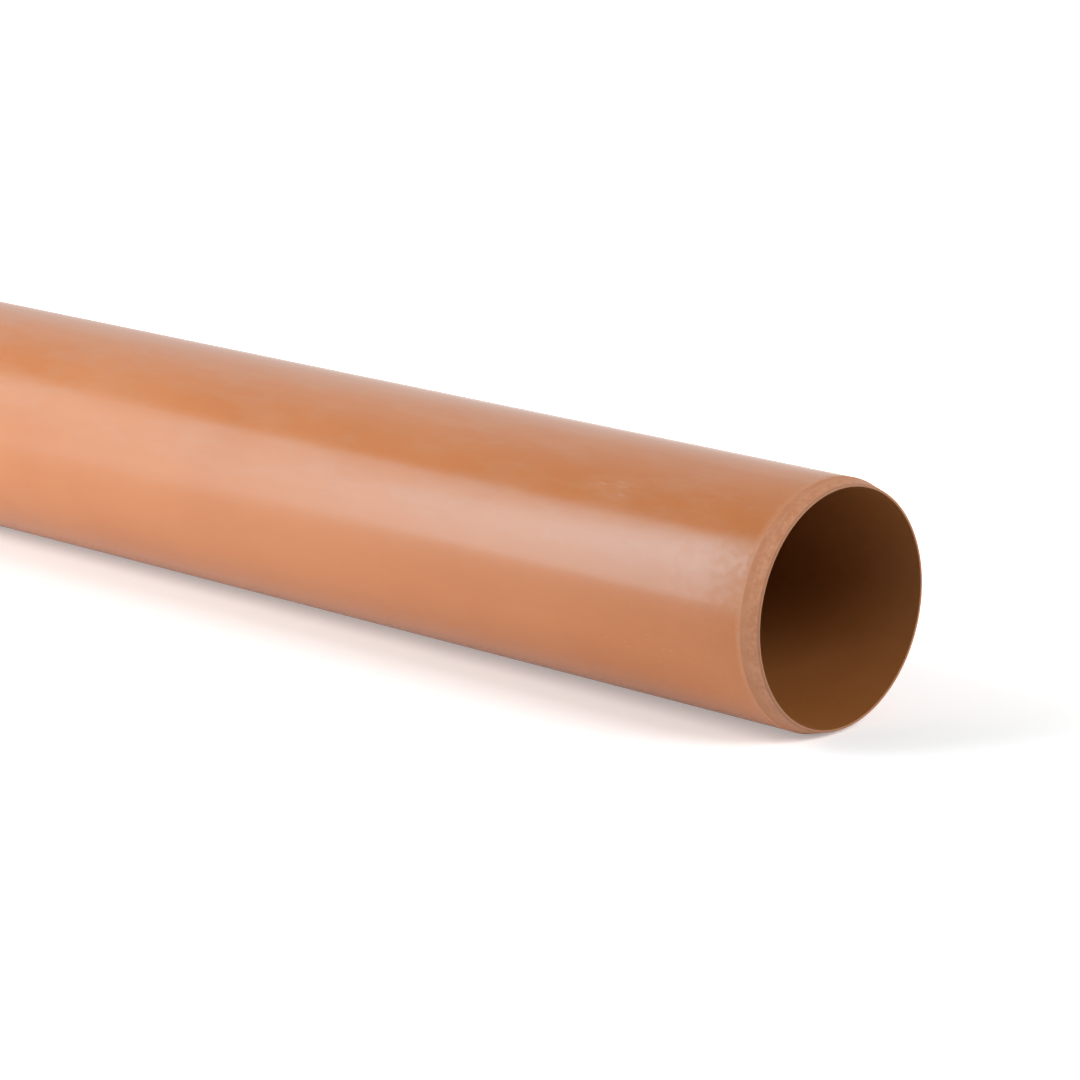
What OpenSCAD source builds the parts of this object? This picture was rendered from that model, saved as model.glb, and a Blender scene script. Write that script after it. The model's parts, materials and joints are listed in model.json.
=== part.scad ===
// Plain-ended underground drain pipe, lying on level ground along X.
// One length of extruded PVC-U, with a lead-in chamfer turned on both ends for push-fit sockets.
// The origin is on the ground, under the middle of the pipe.

/* [Pipe] */
// Outside diameter, which push-fit sockets seal on
outside_d = 110; // [82:1:200]
// Wall thickness
wall = 3.2; // [2.6:0.1:6]
// Overall length
length = 3000; // [500:100:6000]

/* [Ends] */
// Angle of the lead-in chamfer to the pipe's axis, in degrees
chamfer_angle = 15; // [12:1:45]
// Share of the wall that the chamfer leaves standing at the tip
tip_share = 0.33; // [0.2:0.01:0.8]

/* [Looks] */
// Colour of the plastic
pipe_colour = "#CB7F52"; // ["#CB7F52":terracotta, "#8A8D8F":grey, "#2F3133":black]
// Sides that a round face is drawn with
round_sides = 96; // [48:8:192]

/* [Hidden] */

outside_r = outside_d / 2;
bore_r = outside_r - wall;
tip_r = bore_r + wall * tip_share;
chamfer_length = (outside_r - tip_r) / tan(chamfer_angle);
end_x = length / 2;
shoulder_x = end_x - chamfer_length;

// One end of the wall's section, from the bore's edge over the flat tip to the chamfer's shoulder.
// Each point is [distance from the axis, place along the pipe], and side is -1 or 1.
function end_points(side) = [
    [bore_r, side * end_x],
    [tip_r, side * end_x],
    [outside_r, side * shoulder_x]
];

function reversed(points) = [for (i = [len(points) - 1 : -1 : 0]) points[i]];

// The wall cut along the pipe: plain between the shoulders, wedge-shaped at both tips
module wall_section() {
    polygon(concat(end_points(-1), reversed(end_points(1))));
}

// The whole pipe, turned about its axis and laid on the ground
module pipe() {
    color(pipe_colour)
        translate([0, 0, outside_r])
            rotate([0, 90, 0])
                rotate_extrude($fn = round_sides)
                    wall_section();
}

pipe();
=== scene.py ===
"""Looks of the underground drain pipe: one finely turned mesh, its PVC finishes, a studio and a camera."""

import json
import math

import bpy
import numpy as np
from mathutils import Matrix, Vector


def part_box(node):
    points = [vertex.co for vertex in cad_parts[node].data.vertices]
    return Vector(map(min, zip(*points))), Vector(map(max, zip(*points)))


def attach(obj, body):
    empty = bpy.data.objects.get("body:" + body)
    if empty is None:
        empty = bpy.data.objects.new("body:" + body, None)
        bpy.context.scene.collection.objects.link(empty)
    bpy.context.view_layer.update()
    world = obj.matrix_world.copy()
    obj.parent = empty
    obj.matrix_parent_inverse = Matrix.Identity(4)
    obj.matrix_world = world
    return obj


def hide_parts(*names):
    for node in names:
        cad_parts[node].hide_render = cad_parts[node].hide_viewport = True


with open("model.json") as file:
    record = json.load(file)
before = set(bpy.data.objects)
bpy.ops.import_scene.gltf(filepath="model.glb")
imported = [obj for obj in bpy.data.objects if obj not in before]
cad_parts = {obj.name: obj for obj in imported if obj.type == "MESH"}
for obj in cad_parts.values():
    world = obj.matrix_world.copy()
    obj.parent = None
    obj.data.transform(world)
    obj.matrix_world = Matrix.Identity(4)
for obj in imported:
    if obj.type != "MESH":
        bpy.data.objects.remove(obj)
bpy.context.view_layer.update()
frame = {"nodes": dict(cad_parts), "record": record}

MM = 0.001
SAME_PLACE = 0.01 * MM
SEED = 110

# Sizes that the frame gives, in metres
NODE = "pipe"
mounts = {mount["name"]: mount for mount in frame["record"]["mounts"]}
low_corner, high_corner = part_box(NODE)
end_x = high_corner.x
axis_z = (low_corner.z + high_corner.z) / 2
outside_r = (high_corner.z - low_corner.z) / 2
bore_r = mounts["bore"]["dims"]["r_mm"] * MM
shoulder_x = mounts["spigot_right"]["dims"]["length_mm"] * MM / 2
chamfer_length = end_x - shoulder_x


def end_face_radius():
    """The largest distance from the axis among the CAD points of the flat tip."""
    tip_points = [v.co for v in frame["nodes"][NODE].data.vertices if v.co.x > end_x - SAME_PLACE]
    return max(math.hypot(p.y, p.z - axis_z) for p in tip_points)


tip_r = end_face_radius()

# Fineness of the mesh
SEGMENTS = 256
OUTSIDE_STEP = 14 * MM
BORE_STEP = 60 * MM
CHAMFER_RINGS = 20
BORE_EDGE_POINTS = 4

# Rounded edges of the tip. The outer one's points are shares of its rounding: one behind the tip, one on it.
TIP_EDGE_ROUND = 0.25 * MM
TIP_EDGE_PLACE = 0.35
TIP_EDGE_DROP = 0.25
TIP_EDGE_FLAT = 0.5
BORE_EDGE_ROUND = 0.2 * MM

# Relief of the turned ends. The wander fades out over a number of chamfer lengths.
TOOL_MARK_DEPTH = 0.012 * MM
CHAMFER_WANDER = 0.35 * MM
WANDER_LOBES = (1, 2, 3, 5, 8)
WANDER_REACH = 6
LIP_HEIGHT = 0.05 * MM
LIP_WIDTH = 0.9 * MM

# Rings of the mesh behind the shoulder, in lip widths, and where the plain rings start
LIP_RINGS = (0.0, 0.5, 1.0, 2.0, 5.0)
LIP_CLEARANCE = 6 * LIP_WIDTH

# Slight waves of an extruded wall: lobes round the pipe, wavelength along it, height, phase
WALL_WAVES = (
    (2, 2.3, 0.040 * MM, 0.4),
    (3, 1.1, 0.016 * MM, 2.1),
    (5, 0.41, 0.008 * MM, 4.0),
    (9, 0.23, 0.0025 * MM, 1.3),
)

# Zones of the mesh, in the order of its material slots
OUTSIDE, CUT, BORE = range(3)

# Plastic, as linear colours
TERRACOTTA = (0.500, 0.163, 0.041)
TERRACOTTA_PALE = (0.530, 0.183, 0.052)
TERRACOTTA_DEEP = (0.470, 0.146, 0.034)
# Bore colours are darker than the outside's: painted shade inside the pipe.
BORE_SHADED_BROWN = (0.290, 0.107, 0.029)
BORE_SHADED_DEEP = (0.264, 0.094, 0.024)
CUT_PALE = (0.520, 0.245, 0.140)
CUT_DARK = (0.430, 0.178, 0.084)
# Darker colour at the tip, next to the bore: painted shade.
TIP_PAINTED_SHADE = (0.33, 0.156, 0.085)
# Paler, brighter colour further from the tips: painted light.
FAR_PAINTED_LIGHT = (0.67, 0.283, 0.131)
# Darker colour that the haze brings in near the tips.
NEAR_TIP_DARKER = (0.40, 0.200, 0.110)
DUST = (0.52, 0.29, 0.18)
SPECK = (0.10, 0.045, 0.02)

# Shine of the plastic
PVC_IOR = 1.53
PVC_SHINE = 0.58
PVC_SHINE_TINT = (0.54, 0.88, 1.0, 1.0)
CUT_SHINE = 0.25

# Noise patterns: waves a metre along the pipe and across it, detail, roughness of the detail
PATTERNS = {
    "mottle": (11.0, 11.0, 4.0, 0.6),
    "streaks": (1.2, 110.0, 3.0, 0.5),
    "dust": (24.0, 85.0, 6.0, 0.62),
    "smudges": (280.0, 280.0, 5.0, 0.70),
    "grain": (520.0, 520.0, 3.0, 0.6),
    "peel": (420.0, 420.0, 2.0, 0.5),
    "scuff lines": (80.0, 400.0, 4.0, 0.6),
    "scratch lines": (8.0, 650.0, 1.0, 0.5),
    "scratch places": (16.0, 16.0, 2.0, 0.5),
    "blotches": (190.0, 190.0, 5.0, 0.6),
    "tool marks": (2600.0, 14.0, 2.0, 0.5),
    "bore mottle": (14.0, 14.0, 4.0, 0.6),
    "bore streaks": (1.5, 130.0, 3.0, 0.5),
}

# Noise values between which a pattern rises. Where four are given, the last two are its low and high level.
EVEN_RISE = (0.3, 0.7)
STREAK_RISE = (0.45, 0.75)
FAR_PAINTED_LIGHT_RISE = (0.25, 0.75, 0.7, 1.0)
DUST_RISE = (0.44, 0.66)
HANDLED_RISE = (0.40, 0.62)
HAZE_RISE = (0.3, 0.7, 0.75, 1.0)
RAGGED_RISE = (0.32, 0.62, 0.35, 1.0)
SCUFF_LINE_RISE = (0.44, 0.62)
SCRATCH_LINE_RISE = (0.66, 0.72)
SCRATCH_PLACE_RISE = (0.60, 0.68)
PATCH_RISE = (0.38, 0.62)
TOOL_MARK_RISE = (0.4, 0.75)
RUBBED_RISE = (0.40, 0.62, 0.15, 0.9)

# Distances from the nearer tip over which a mark comes in, in metres
FAR_PAINTED_LIGHT_DEPTH = (0.05, 0.22)
HANDLED_DEPTH = (0.120, 0.020)
HAZE_DEPTH = (0.040, 0.009)
RAGGED_DEPTH = (12.5 * MM, 7.6 * MM)
SOFTER_DEPTH = (0.15, 0.50)
TIP_PAINTED_SHADE_DEPTH = (1.4 * MM, 0.0)
RUBBED_DEPTH = (4.0 * MM, 7.6 * MM)

# Heights above the axis between which dust comes in, in outside radii
DUSTY_SIDE = (0.05, 0.50)

# Shares of one colour in another
TERRACOTTA_SHARE = 0.6
STREAK_SHARE = 0.35
BORE_STREAK_SHARE = 0.4
TOOL_MARK_SHARE = 0.25

# What each mark does to the outside: its colour, in order, then what it adds to roughness and to shine
MARK_COLOURS = (
    # Painted light: the pipe paler and brighter further from the tips.
    ("far_painted_light", 0.25, FAR_PAINTED_LIGHT),
    ("haze", 0.22, NEAR_TIP_DARKER),
    ("dust", 0.17, DUST),
    ("handled", 0.05, DUST),
    ("scuffs", 1.0, DUST),
    ("scratches", 0.25, DUST),
    ("ragged", 0.75, CUT_PALE),
    ("specks", 0.7, SPECK),
)
MARK_ROUGHNESS = (("handled", 0.02), ("haze", 0.025), ("dust", 0.01), ("scuffs", 0.3), ("ragged", 0.3))
MARK_SHINE = (("haze", -0.26), ("handled", -0.10))

# Roughness of each finish, from its smoothest to its roughest part
OUTSIDE_ROUGHNESS = (0.190, 0.215)
SOFTER_ROUGHNESS = 0.045
CUT_ROUGHNESS = (0.5, 0.68)
BORE_ROUGHNESS = (0.34, 0.42)

# Fine relief in the shading, and the weights of the patterns that it and the cut's patches are made of
OUTSIDE_BUMP = {"Strength": 0.15, "Distance": 0.05 * MM}
CUT_BUMP = {"Strength": 0.5, "Distance": 0.08 * MM}
BORE_BUMP = {"Strength": 0.3, "Distance": 0.05 * MM}
PEEL_WEIGHT = 0.25
STREAK_WEIGHT = 0.6
TOOL_MARK_WEIGHT = 0.7
BLOTCH_WEIGHT = 0.3
PATCH_WEIGHT = 0.5

# Pale scuffs: distance from the right-hand tip, half length along the pipe, degrees about the axis,
# half width, strength
SCUFFS = (
    (97 * MM, 26 * MM, 130, 8 * MM, 0.26),
    (184 * MM, 22 * MM, 119, 5 * MM, 0.16),
    (45 * MM, 18 * MM, 122, 5 * MM, 0.12),
    (427 * MM, 11 * MM, 108, 3.5 * MM, 0.40),
)
SCUFF_EDGE = (1.0, 0.3)

# Scratches are turned from the pipe's axis, in radians
SCRATCH_TURN = (0.0, 0.12, 0.35)

# Dark specks: cells a metre, share of the cells that have one, radius, share of it that is full
SPECK_CELLS = 60.0
SPECK_SHARE = 0.07
SPECK_RADIUS = 0.5 * MM
SPECK_CORE = 0.4

# Sockets of a Mix node that blends colours
MIX_SHARE = 0
MIX_FIRST = 6
MIX_SECOND = 7
MIX_RESULT = 2

# Camera, from the photo's outlines and mouth
CAMERA_FROM_MOUTH = Vector((1.1512, -1.3694, 0.4716))
CAMERA_AZIMUTH = math.radians(44.10)
CAMERA_ELEVATION = math.radians(13.91)
CAMERA_LENS = 147.13
SENSOR_WIDTH = 36.0

# Floor
FLOOR_SIDE = 60.0
FLOOR_ALBEDO = 0.80
WHITE = (1.0, 1.0, 1.0, 1.0)

# Light that the floor sheds: it rises away from the pipe and ends past the pipe's ends
GLOW_REACH = (0.02, 0.16)
GLOW_LEVEL = (0.10, 0.54)
GLOW_PAST_END = (-0.05, 0.10, 1.0, 0.0)

# Floor as the camera and the shine see it: it rises to white away from the pipe
SHOWN_REACH = (-0.02, 0.45)
SHOWN_NEAR = 0.30
MIRRORED_NEAR = 0.11
SHOWN_FAR = 0.98

# Sky, in front of the pipe and behind it, and the share of it that lights the plastic softly
SKY_FRONT = 0.36
SKY_BACK = 0.94
SKY_TURN = (-0.4, 0.4)
SKY_SOFT_SHARE = 0.32

# Light panels. A fade is the share of the side where it starts, the share where it ends, and its dim level.
FRONT_PANEL = {"centre": (-0.575, -1.20, 1.000), "size": (2.85, 1.98), "radiance": 5.45}
FRONT_FADE = (0.58, 0.83, 0.28)
FRONT_FOOT_FADE = (0.0, 0.56, 0.55)
MOUTH_PANEL = {"centre": (3.30, 0.16, 1.35), "size": (1.10, 1.10), "radiance": 9.3}
ENERGY_PER_RADIANCE = 4


def wall_wave(x, angle):
    """Height of the wall's slight waves, never above zero, so that the wall stays within its size."""
    total = 0.0
    for lobes, wavelength, height, phase in WALL_WAVES:
        total = total + height * (np.cos(lobes * angle + phase + 2 * math.pi * x / wavelength) - 1)
    return total


def smooth_step(value, start, end):
    """0 before start, 1 after end, and a smooth rise between them."""
    share = np.clip((value - start) / (end - start), 0, 1)
    return share * share * (3 - 2 * share)


def arc_points(centre, radius, start_deg, end_deg, count):
    """Points [from the tip, from the axis] on a small edge rounding."""
    angles = np.radians(np.linspace(start_deg, end_deg, count))
    return [(centre[0] + radius * math.cos(a), centre[1] + radius * math.sin(a)) for a in angles]


def end_profile():
    """One end's outline from the shoulder over the tip to the bore.

    Each point is (depth behind the tip, distance from the axis, zone of the band that follows).
    """
    slope = (outside_r - tip_r) / chamfer_length
    points = []
    for k in range(CHAMFER_RINGS + 1):
        depth = chamfer_length + (TIP_EDGE_ROUND - chamfer_length) * k / CHAMFER_RINGS
        points.append((depth, tip_r + slope * depth, CUT))
    rounding = TIP_EDGE_PLACE * TIP_EDGE_ROUND
    points.append((rounding, tip_r + slope * rounding - TIP_EDGE_DROP * rounding, CUT))
    points.append((0.0, tip_r - TIP_EDGE_FLAT * TIP_EDGE_ROUND, CUT))
    bore_edge_centre = (BORE_EDGE_ROUND, bore_r + BORE_EDGE_ROUND)
    for depth, radius in arc_points(bore_edge_centre, BORE_EDGE_ROUND, 180, 270, BORE_EDGE_POINTS):
        points.append((depth, radius, CUT))
    depth, radius, _zone = points[-1]
    points[-1] = (depth, radius, BORE)
    return points


def outside_places():
    """Places along the outside, from shoulder to shoulder, closer together behind both shoulders."""
    near_shoulder = [share * LIP_WIDTH for share in LIP_RINGS]
    count = round(2 * shoulder_x / OUTSIDE_STEP)
    plain = np.linspace(-shoulder_x, shoulder_x, count + 1)
    plain = plain[(plain > -shoulder_x + LIP_CLEARANCE) & (plain < shoulder_x - LIP_CLEARANCE)]
    left = [-shoulder_x + d for d in near_shoulder]
    right = [shoulder_x - d for d in near_shoulder[::-1]]
    return left + list(plain) + right


def ring_list():
    """Rings of the closed outline, as (place along the pipe, distance from the axis, zone that follows).

    They go along the outside, round one tip, back through the bore and round the other tip.
    """
    ends = end_profile()
    rings = [(x, outside_r, OUTSIDE) for x in outside_places()[:-1]]
    for depth, radius, zone in ends:
        rings.append((end_x - depth, radius, zone))
    bore_count = round(2 * end_x / BORE_STEP)
    for x in np.linspace(end_x, -end_x, bore_count + 1)[1:-1]:
        rings.append((x, bore_r, BORE))
    for index in range(len(ends) - 1, 0, -1):
        depth, radius, _zone = ends[index]
        zone_behind = ends[index - 1][2]
        rings.append((-end_x + depth, radius, zone_behind))
    return rings


def shoulder_wander(draws, angles):
    """How far the shoulder strays along the pipe at each angle."""
    wander = sum(np.cos(k * angles + draws.uniform(0, 2 * math.pi)) / k for k in WANDER_LOBES)
    return CHAMFER_WANDER * wander / np.abs(wander).max()


def ring_points(x, radius, angles, wander, draws):
    """Points of one ring, with the wall's waves, the shoulder's wander and lip, and the tool marks."""
    depth = end_x - abs(x)
    ring_x = np.full(SEGMENTS, x)
    if radius > tip_r:
        behind_tip = smooth_step(depth, 0.0, chamfer_length)
        before_plain = smooth_step(-depth, -WANDER_REACH * chamfer_length, -chamfer_length)
        near_shoulder = behind_tip * before_plain
        ring_x = ring_x + math.copysign(1.0, x) * wander * near_shoulder
    height = wall_wave(ring_x, angles)
    if depth < chamfer_length - SAME_PLACE and radius > bore_r + BORE_EDGE_ROUND / 2:
        height = height - TOOL_MARK_DEPTH * draws.uniform(0, 1)
    if radius > tip_r:
        lip = math.exp(-((depth - chamfer_length) / (LIP_WIDTH / 2)) ** 2)
        height = np.minimum(height + LIP_HEIGHT * lip, outside_r - radius)
    ring_r = radius + height
    return np.stack([ring_x, ring_r * np.cos(angles), axis_z + ring_r * np.sin(angles)], axis=1)


def pipe_mesh():
    """The pipe as one closed turned mesh."""
    draws = np.random.default_rng(SEED)
    rings = ring_list()
    angles = np.arange(SEGMENTS) * 2 * math.pi / SEGMENTS
    wander = shoulder_wander(draws, angles)
    vertices = [ring_points(x, radius, angles, wander, draws) for x, radius, _zone in rings]
    faces = []
    zones = []
    for i, (_x, _radius, zone) in enumerate(rings):
        here = i * SEGMENTS
        there = (i + 1) % len(rings) * SEGMENTS
        for j in range(SEGMENTS):
            k = (j + 1) % SEGMENTS
            faces.append((here + j, there + j, there + k, here + k))
            zones.append(zone)
    mesh = bpy.data.meshes.new("drain_pipe")
    mesh.from_pydata(np.concatenate(vertices).tolist(), [], faces)
    mesh.polygons.foreach_set("material_index", zones)
    mesh.polygons.foreach_set("use_smooth", [True] * len(faces))
    mesh.update()
    return mesh


def add_node(tree, kind, inputs=None, **settings):
    """A shader node with its settings. An input is a number, a colour or another node's output."""
    node = tree.nodes.new(kind)
    for name, value in settings.items():
        setattr(node, name, value)
    for socket, value in (inputs or {}).items():
        if isinstance(value, bpy.types.NodeSocket):
            tree.links.new(value, node.inputs[socket])
        else:
            node.inputs[socket].default_value = value
    return node


def calc(tree, operation, *values):
    """One step of arithmetic on numbers and outputs."""
    return add_node(tree, "ShaderNodeMath", dict(enumerate(values)), operation=operation).outputs[0]


def add_up(tree, start, parts):
    """A start value plus a number of outputs, each times its own weight."""
    total = start
    for output, weight in parts:
        total = calc(tree, "MULTIPLY_ADD", output, weight, total)
    return total


def rise(tree, value, start, end, low=0.0, high=1.0):
    """A smooth rise from low to high as value goes from start to end."""
    sockets = {"Value": value, "From Min": start, "From Max": end, "To Min": low, "To Max": high}
    return add_node(tree, "ShaderNodeMapRange", sockets, interpolation_type="SMOOTHSTEP").outputs["Result"]


def blend_colours(tree, share, first, second):
    """A colour between two, each a linear colour or an output."""
    sockets = {MIX_SHARE: share}
    for socket, colour in ((MIX_FIRST, first), (MIX_SECOND, second)):
        sockets[socket] = colour if isinstance(colour, bpy.types.NodeSocket) else (*colour, 1.0)
    return add_node(tree, "ShaderNodeMix", sockets, data_type="RGBA").outputs[MIX_RESULT]


def noise(tree, place, pattern):
    """One of the noise patterns, soft and between 0 and 1."""
    along, across, detail, roughness = PATTERNS[pattern]
    scaled = add_node(tree, "ShaderNodeMapping", {"Vector": place, "Scale": (along, across, across)})
    sockets = {"Vector": scaled.outputs["Vector"], "Scale": 1.0, "Detail": detail, "Roughness": roughness}
    return add_node(tree, "ShaderNodeTexNoise", sockets).outputs["Fac"]


def axes_of(tree, place):
    """The X, Y and Z outputs of a place."""
    return add_node(tree, "ShaderNodeSeparateXYZ", {0: place}).outputs


def new_finish(name):
    """A material with its node tree, its shader and the place on the pipe in metres."""
    material = bpy.data.materials.new(name)
    material.use_nodes = True
    tree = material.node_tree
    shader = tree.nodes["Principled BSDF"]
    shader.inputs["IOR"].default_value = PVC_IOR
    shader.inputs["Specular IOR Level"].default_value = PVC_SHINE
    shader.inputs["Specular Tint"].default_value = PVC_SHINE_TINT
    place = add_node(tree, "ShaderNodeTexCoord").outputs["Object"]
    return material, tree, shader, place


def connect_finish(tree, shader, colour, roughness, height, bump):
    """Link a finish's colour, roughness and fine relief to its shader."""
    relief = add_node(tree, "ShaderNodeBump", {"Height": height, **bump})
    tree.links.new(colour, shader.inputs["Base Color"])
    tree.links.new(roughness, shader.inputs["Roughness"])
    tree.links.new(relief.outputs["Normal"], shader.inputs["Normal"])


def depth_from_end(tree, place):
    """Distance behind the nearer tip, in metres."""
    return calc(tree, "SUBTRACT", end_x, calc(tree, "ABSOLUTE", axes_of(tree, place)["X"]))


def specks(tree, place):
    """Sparse dots: 1 inside a dot and 0 elsewhere."""
    cells = add_node(tree, "ShaderNodeTexVoronoi", {"Vector": place, "Scale": SPECK_CELLS})
    draw = add_node(tree, "ShaderNodeSeparateColor", {0: cells.outputs["Color"]}).outputs[0]
    chosen = calc(tree, "LESS_THAN", draw, SPECK_SHARE)
    radius = SPECK_RADIUS * SPECK_CELLS
    dot = rise(tree, cells.outputs["Distance"], radius, SPECK_CORE * radius)
    return calc(tree, "MULTIPLY", chosen, dot)


def scuffs(tree, place):
    """Pale rubbed patches at their own places, broken into short lines along the pipe."""
    total = 0.0
    for from_tip, half_length, degrees, half_width, strength in SCUFFS:
        angle = math.radians(degrees)
        across = Vector((0.0, math.cos(angle), math.sin(angle)))
        centre = Vector((end_x - from_tip, 0.0, axis_z)) + outside_r * across
        sizes = Vector((1 / half_length, 1 / half_width, 1 / half_width))
        sockets = {"Vector": place, "Location": -centre * sizes, "Scale": sizes}
        offset = add_node(tree, "ShaderNodeMapping", sockets).outputs["Vector"]
        reach = add_node(tree, "ShaderNodeVectorMath", {0: offset}, operation="LENGTH").outputs["Value"]
        total = calc(tree, "ADD", total, rise(tree, reach, *SCUFF_EDGE, 0.0, strength))
    lines = rise(tree, noise(tree, place, "scuff lines"), *SCUFF_LINE_RISE)
    return calc(tree, "MULTIPLY", total, lines)


def scratches(tree, place):
    """Short fine straight lines, turned from the pipe's axis: 1 on a line and 0 elsewhere."""
    turned = add_node(tree, "ShaderNodeMapping", {"Vector": place, "Rotation": SCRATCH_TURN})
    lines = rise(tree, noise(tree, turned.outputs["Vector"], "scratch lines"), *SCRATCH_LINE_RISE)
    kept = rise(tree, noise(tree, place, "scratch places"), *SCRATCH_PLACE_RISE)
    return calc(tree, "MULTIPLY", kept, lines)


def outside_marks(tree, place, depth, mottle):
    """The marks on the outside by name, each from 0 to its own strength."""
    height = axes_of(tree, place)["Z"]
    dusty_side = rise(tree, height, *(axis_z + share * outside_r for share in DUSTY_SIDE))
    smudges = noise(tree, place, "smudges")
    places_and_patterns = {
        "far_painted_light": (rise(tree, depth, *FAR_PAINTED_LIGHT_DEPTH), rise(tree, mottle, *FAR_PAINTED_LIGHT_RISE)),
        "haze": (rise(tree, depth, *HAZE_DEPTH), rise(tree, smudges, *HAZE_RISE)),
        "dust": (dusty_side, rise(tree, noise(tree, place, "dust"), *DUST_RISE)),
        "handled": (rise(tree, depth, *HANDLED_DEPTH), rise(tree, smudges, *HANDLED_RISE)),
        "ragged": (rise(tree, depth, *RAGGED_DEPTH), rise(tree, noise(tree, place, "grain"), *RAGGED_RISE)),
    }
    marks = {name: calc(tree, "MULTIPLY", *pair) for name, pair in places_and_patterns.items()}
    marks["scuffs"] = scuffs(tree, place)
    marks["scratches"] = scratches(tree, place)
    marks["specks"] = specks(tree, place)
    return marks


def outside_finish():
    """Satin outside: drawn streaks, a length painted paler and brighter away from the tips as painted light,
    dust on the upper side, and rubbed, hazy ends that are darker near the tips.
    """
    material, tree, shader, place = new_finish("pvc_outside")
    depth = depth_from_end(tree, place)
    mottle = noise(tree, place, "mottle")
    streaks = noise(tree, place, "streaks")
    marks = outside_marks(tree, place, depth, mottle)
    colour = blend_colours(tree, rise(tree, mottle, *EVEN_RISE), TERRACOTTA_DEEP, TERRACOTTA_PALE)
    colour = blend_colours(tree, TERRACOTTA_SHARE, colour, TERRACOTTA)
    streak_share = rise(tree, streaks, *STREAK_RISE, 0.0, STREAK_SHARE)
    colour = blend_colours(tree, streak_share, colour, TERRACOTTA_DEEP)
    for name, strength, tint in MARK_COLOURS:
        colour = blend_colours(tree, calc(tree, "MULTIPLY", marks[name], strength), colour, tint)
    roughness = rise(tree, mottle, *EVEN_RISE, *OUTSIDE_ROUGHNESS)
    softer = rise(tree, depth, *SOFTER_DEPTH, 0.0, SOFTER_ROUGHNESS)
    roughness = calc(tree, "ADD", roughness, softer)
    roughness = add_up(tree, roughness, [(marks[name], added) for name, added in MARK_ROUGHNESS])
    shine = add_up(tree, PVC_SHINE, [(marks[name], added) for name, added in MARK_SHINE])
    tree.links.new(shine, shader.inputs["Specular IOR Level"])
    peel = noise(tree, place, "peel")
    height = add_up(tree, 0.0, [(peel, PEEL_WEIGHT), (streaks, STREAK_WEIGHT)])
    connect_finish(tree, shader, colour, roughness, height, OUTSIDE_BUMP)
    return material


def cut_finish():
    """Matt turned plastic of the chamfer and the tip: blotched, with fine tool marks round the pipe, and
    painted shade darkening the tip.
    """
    material, tree, shader, place = new_finish("pvc_cut")
    shader.inputs["Specular IOR Level"].default_value = CUT_SHINE
    depth = depth_from_end(tree, place)
    blotches = noise(tree, place, "blotches")
    grain = noise(tree, place, "grain")
    tool_marks = noise(tree, place, "tool marks")
    patches = add_up(tree, 0.0, [(blotches, PATCH_WEIGHT), (grain, PATCH_WEIGHT)])
    colour = blend_colours(tree, rise(tree, patches, *PATCH_RISE), CUT_DARK, CUT_PALE)
    tool_mark_share = rise(tree, tool_marks, *TOOL_MARK_RISE, 0.0, TOOL_MARK_SHARE)
    colour = blend_colours(tree, tool_mark_share, colour, DUST)
    # Painted shade: the tip darkens towards its flat face.
    colour = blend_colours(tree, rise(tree, depth, *TIP_PAINTED_SHADE_DEPTH), colour, TIP_PAINTED_SHADE)
    rubbed = calc(tree, "MULTIPLY", rise(tree, depth, *RUBBED_DEPTH), rise(tree, grain, *RUBBED_RISE))
    colour = blend_colours(tree, rubbed, colour, CUT_DARK)
    roughness = rise(tree, blotches, *EVEN_RISE, *CUT_ROUGHNESS)
    height = add_up(tree, 0.0, [(tool_marks, TOOL_MARK_WEIGHT), (blotches, BLOTCH_WEIGHT)])
    connect_finish(tree, shader, colour, roughness, height, CUT_BUMP)
    return material


def bore_finish():
    """Inside of the pipe: the same plastic, its colour painted darker than the outside as painted shade,
    with drawn streaks along it.
    """
    material, tree, shader, place = new_finish("pvc_bore")
    mottle = noise(tree, place, "bore mottle")
    streaks = noise(tree, place, "bore streaks")
    colour = blend_colours(tree, rise(tree, mottle, *EVEN_RISE), BORE_SHADED_DEEP, BORE_SHADED_BROWN)
    streak_share = rise(tree, streaks, *STREAK_RISE, 0.0, BORE_STREAK_SHARE)
    colour = blend_colours(tree, streak_share, colour, BORE_SHADED_DEEP)
    roughness = rise(tree, mottle, *EVEN_RISE, *BORE_ROUGHNESS)
    connect_finish(tree, shader, colour, roughness, streaks, BORE_BUMP)
    return material


def build_pipe():
    """The visible pipe, in place of the CAD solid."""
    pipe = bpy.data.objects.new("drain_pipe", pipe_mesh())
    bpy.context.scene.collection.objects.link(pipe)
    for finish in (outside_finish(), cut_finish(), bore_finish()):
        pipe.data.materials.append(finish)
    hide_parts(NODE)
    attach(pipe, "root")


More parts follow.
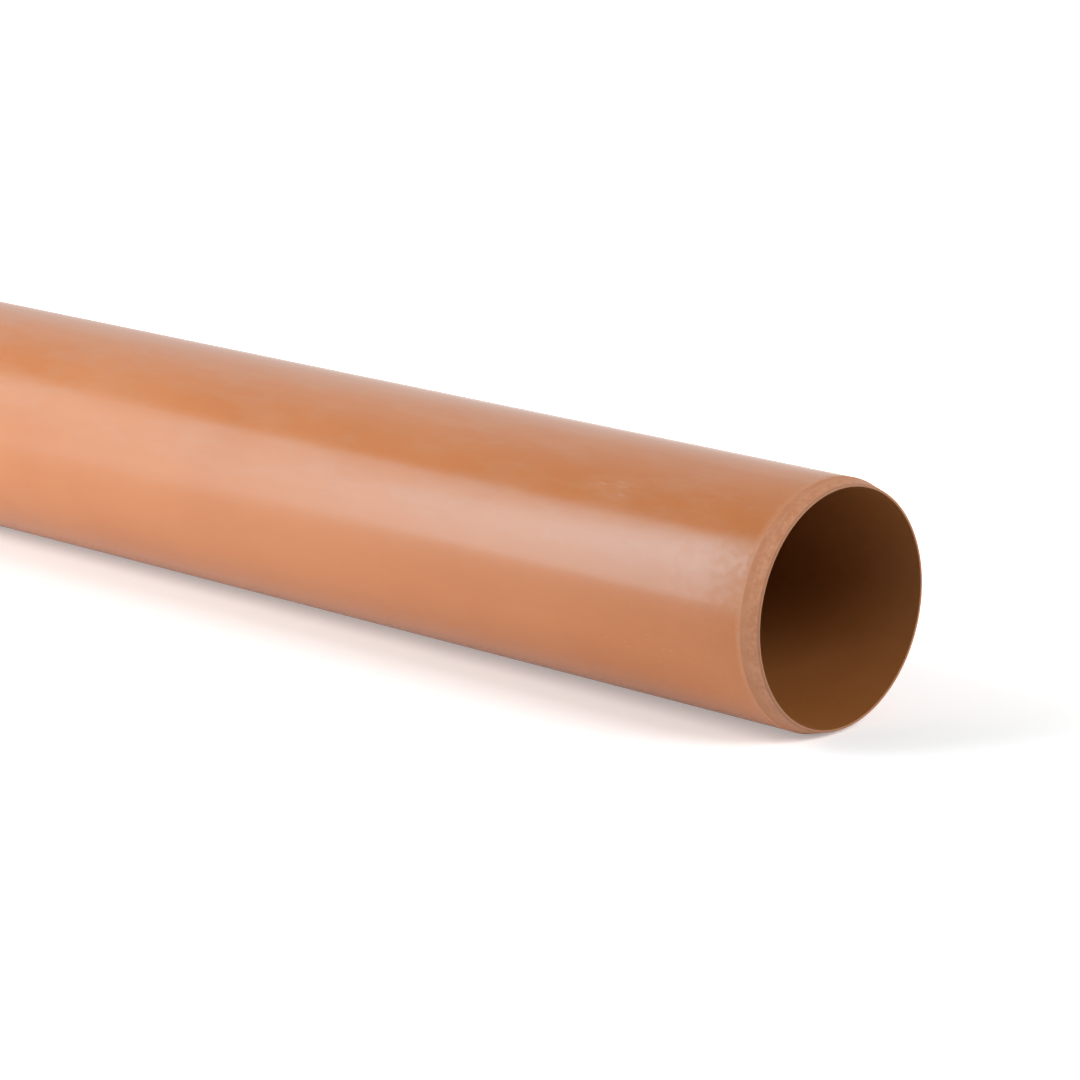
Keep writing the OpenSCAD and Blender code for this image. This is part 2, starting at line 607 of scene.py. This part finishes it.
def floor_finish():
    """Matt white that glows: one level lights the pipe, another is shown to the camera and to the shine."""
    material = bpy.data.materials.new("floor_white")
    material.use_nodes = True
    tree = material.node_tree
    shader = tree.nodes["Principled BSDF"]
    shader.inputs["Base Color"].default_value = (FLOOR_ALBEDO, FLOOR_ALBEDO, FLOOR_ALBEDO, 1.0)
    shader.inputs["Roughness"].default_value = 1.0
    shader.inputs["Specular IOR Level"].default_value = 0.0
    shader.inputs["Emission Color"].default_value = WHITE
    axes = axes_of(tree, add_node(tree, "ShaderNodeTexCoord").outputs["Object"])
    past_end = calc(tree, "SUBTRACT", calc(tree, "ABSOLUTE", axes["X"]), end_x)
    from_pipe = calc(tree, "MAXIMUM", calc(tree, "ABSOLUTE", axes["Y"]), past_end)
    path = add_node(tree, "ShaderNodeLightPath").outputs
    shed = rise(tree, from_pipe, *GLOW_REACH, *GLOW_LEVEL)
    shed = calc(tree, "MULTIPLY", shed, rise(tree, past_end, *GLOW_PAST_END))
    near = rise(tree, path["Is Camera Ray"], 0.0, 1.0, MIRRORED_NEAR, SHOWN_NEAR)
    shown = rise(tree, from_pipe, *SHOWN_REACH, near, SHOWN_FAR)
    seen = calc(tree, "MAXIMUM", path["Is Camera Ray"], path["Is Glossy Ray"])
    glow = calc(tree, "MULTIPLY_ADD", seen, calc(tree, "SUBTRACT", shown, shed), shed)
    tree.links.new(glow, shader.inputs["Emission Strength"])
    return material


def build_floor():
    """A wide pale floor that shows white and keeps the pipe's shadow."""
    mesh = bpy.data.meshes.new("floor")
    half = FLOOR_SIDE / 2
    corners = [(-half, -half, 0.0), (half, -half, 0.0), (half, half, 0.0), (-half, half, 0.0)]
    mesh.from_pydata(corners, [], [(0, 1, 2, 3)])
    mesh.materials.append(floor_finish())
    floor = bpy.data.objects.new("floor", mesh)
    bpy.context.scene.collection.objects.link(floor)


def build_sky():
    """White all round: bright behind the pipe, dimmer in front, and plain white to the camera."""
    world = bpy.data.worlds.new("studio")
    world.use_nodes = True
    tree = world.node_tree
    background = tree.nodes["Background"]
    background.inputs["Color"].default_value = WHITE
    direction = add_node(tree, "ShaderNodeTexCoord").outputs["Generated"]
    shine = rise(tree, axes_of(tree, direction)["Y"], *SKY_TURN, SKY_FRONT, SKY_BACK)
    path = add_node(tree, "ShaderNodeLightPath").outputs
    soft = rise(tree, path["Is Glossy Ray"], 0.0, 1.0, SKY_SOFT_SHARE, 1.0)
    light = calc(tree, "MULTIPLY", shine, soft)
    strength = calc(tree, "MAXIMUM", light, path["Is Camera Ray"])
    tree.links.new(strength, background.inputs["Strength"])
    bpy.context.scene.world = world


def build_panel(name, aim, centre, size, radiance):
    """One soft light panel that faces a point."""
    light = bpy.data.lights.new(name, "AREA")
    light.shape = "RECTANGLE"
    light.size, light.size_y = size
    light.energy = ENERGY_PER_RADIANCE * light.size * light.size_y * radiance
    panel = bpy.data.objects.new(name, light)
    panel.location = centre
    panel.rotation_mode = "QUATERNION"
    panel.rotation_quaternion = (aim - panel.location).to_track_quat("-Z", "Y")
    panel.visible_camera = False
    bpy.context.scene.collection.objects.link(panel)
    return light


def fade_panel(light, along, foot):
    """Dim a panel towards one end and towards its foot."""
    light.use_nodes = True
    tree = light.node_tree
    shares = axes_of(tree, add_node(tree, "ShaderNodeNewGeometry").outputs["Parametric"])
    level = rise(tree, shares["X"], *along, 1.0)
    level = calc(tree, "MULTIPLY", level, rise(tree, shares["Y"], *foot, 1.0))
    tree.links.new(level, tree.nodes["Emission"].inputs["Strength"])


def build_panels():
    """A tall panel along the pipe's front, and one that looks down into the mouth."""
    straight_back = Vector(FRONT_PANEL["centre"]) + Vector((0.0, 1.0, 0.0))
    front = build_panel("front_panel", straight_back, **FRONT_PANEL)
    fade_panel(front, FRONT_FADE, FRONT_FOOT_FADE)
    build_panel("mouth_panel", Vector((end_x, 0.0, axis_z)), **MOUTH_PANEL)


def build_camera():
    """The photo's view of the right-hand end."""
    camera = bpy.data.objects.new("camera", bpy.data.cameras.new("camera"))
    camera.data.lens = CAMERA_LENS
    camera.data.sensor_width = SENSOR_WIDTH
    level = math.cos(CAMERA_ELEVATION)
    back = Vector((
        math.sin(CAMERA_AZIMUTH) * level,
        -math.cos(CAMERA_AZIMUTH) * level,
        math.sin(CAMERA_ELEVATION),
    ))
    camera.location = Vector((end_x, 0.0, axis_z)) + CAMERA_FROM_MOUTH
    camera.rotation_mode = "QUATERNION"
    camera.rotation_quaternion = (-back).to_track_quat("-Z", "Y")
    bpy.context.scene.collection.objects.link(camera)
    bpy.context.scene.camera = camera


build_pipe()
build_floor()
build_sky()
build_panels()
build_camera()
bpy.context.scene.view_settings.view_transform = "Standard"
